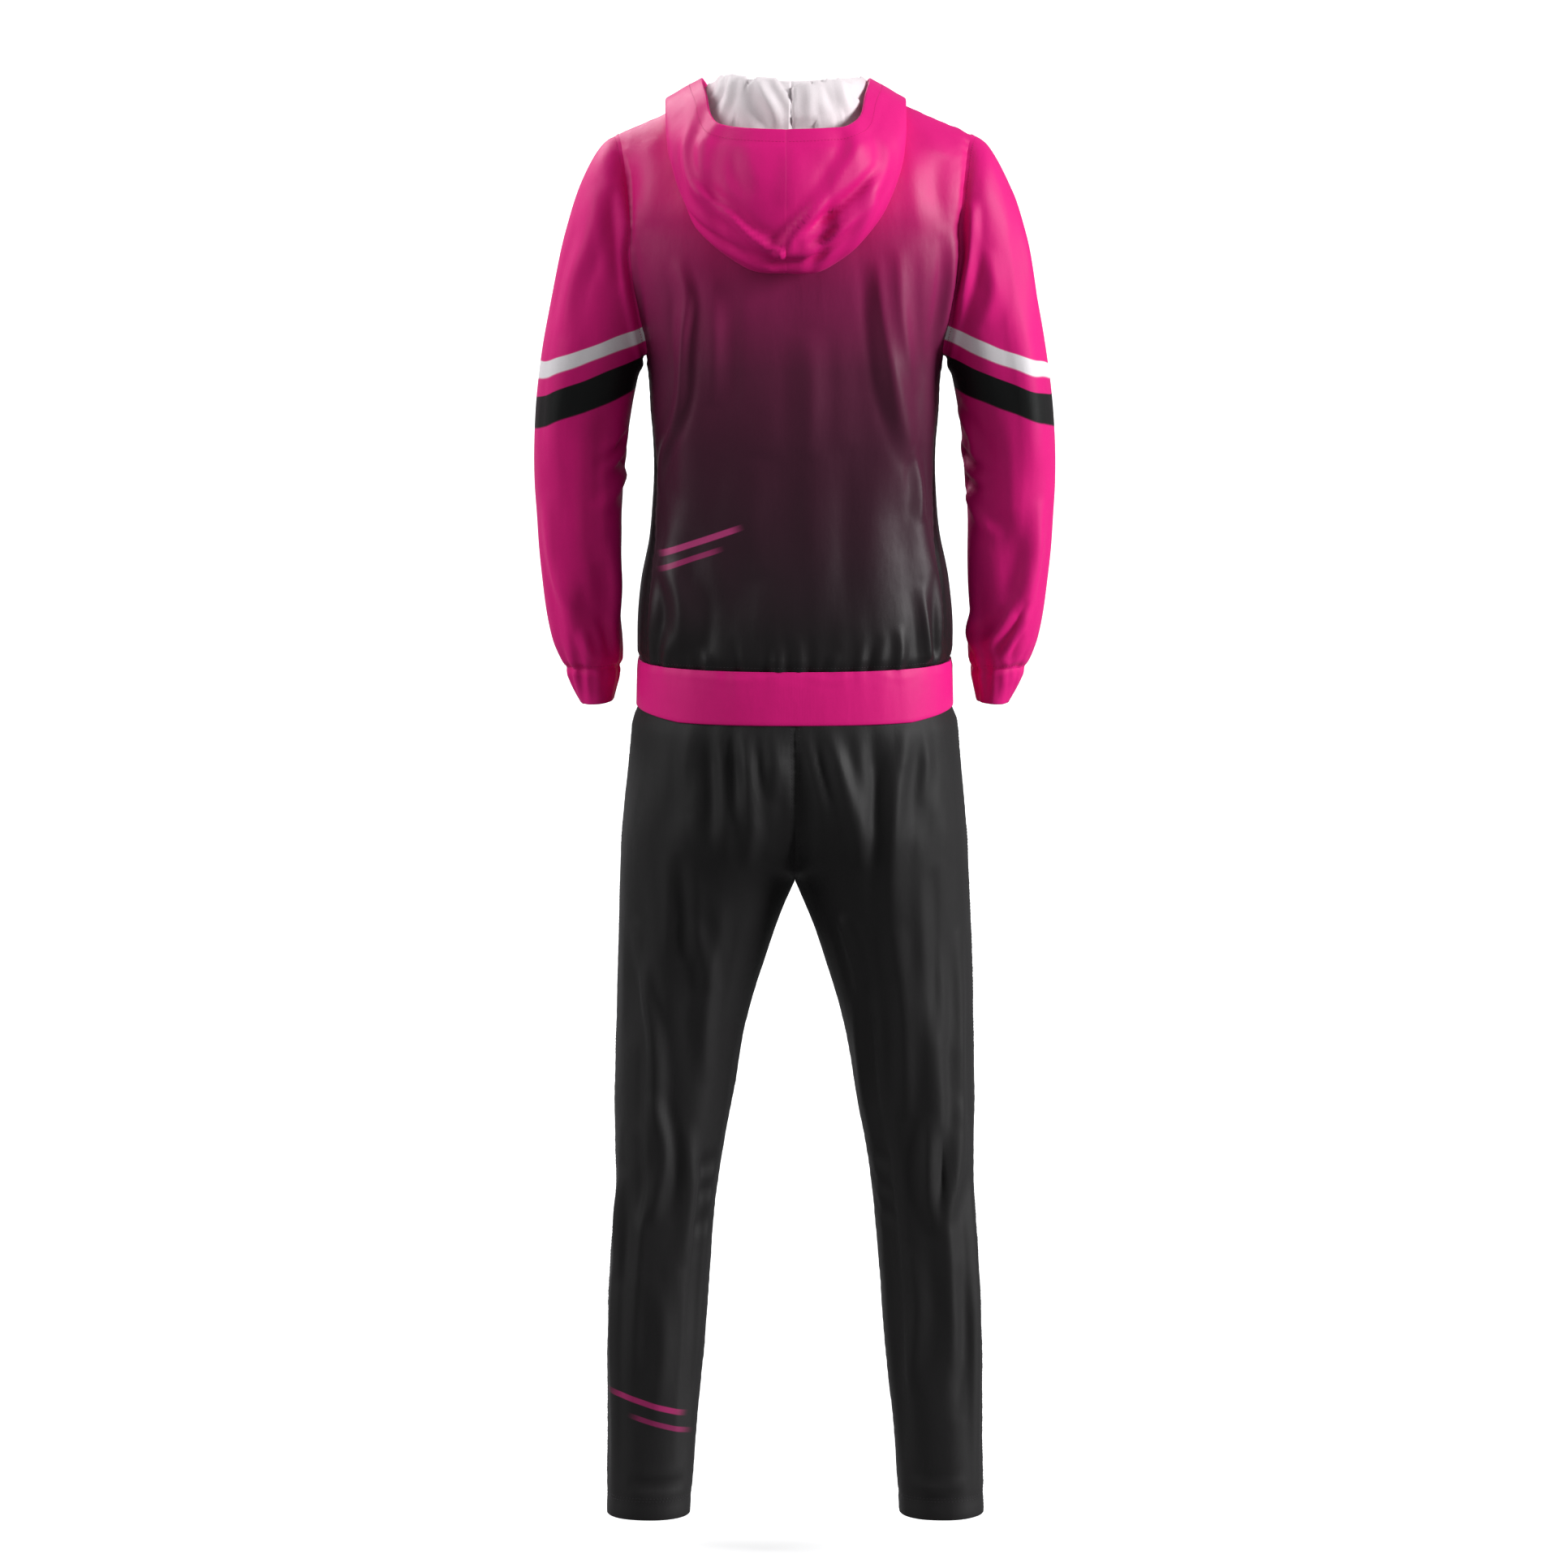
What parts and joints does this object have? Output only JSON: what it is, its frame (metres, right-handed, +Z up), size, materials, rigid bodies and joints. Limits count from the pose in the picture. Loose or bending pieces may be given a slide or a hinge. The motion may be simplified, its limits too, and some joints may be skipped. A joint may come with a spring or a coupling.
{
  "type": "hooded tracksuit",
  "caption": "Worn-shape hooded pullover jacket with hem band and cuffs, over straight long pants, hollow and open at neck, cuffs and leg hems.",
  "frame": {"origin": "between the shoulders at neck height, on the middle line, where the wearer's shoulders carry the jacket", "axes": "+Z up the body, +Y towards the wearer's back, +X towards the wearer's left"},
  "size_m": [0.5732, 0.307, 1.5973],
  "materials": {
    "pink_knit": "smooth polyester knit with a soft satin sheen, hot pink",
    "jacket_knit": "smooth polyester knit, fading from hot pink at the shoulders to near black at the hem",
    "black_knit": "matt black polyester knit",
    "white_lining": "plain white woven lining",
    "charcoal_knit": "smooth charcoal polyester knit with a faint sheen"
  },
  "bodies": {
    "root": {"jacket_back": "jacket_knit", "jacket_front": "jacket_knit", "jacket_side_left": "black_knit", "jacket_side_right": "black_knit", "sleeve_left": "pink_knit", "sleeve_right": "pink_knit", "cuff_left": "pink_knit", "cuff_right": "pink_knit", "hem_band": "pink_knit", "hood_left": "pink_knit", "hood_right": "pink_knit", "hood_lining_left": "white_lining", "hood_lining_right": "white_lining", "pants_back_left": "charcoal_knit", "pants_back_right": "charcoal_knit", "pants_front_left": "charcoal_knit", "pants_front_right": "charcoal_knit", "waistband": "charcoal_knit"}
  },
  "joints": []
}
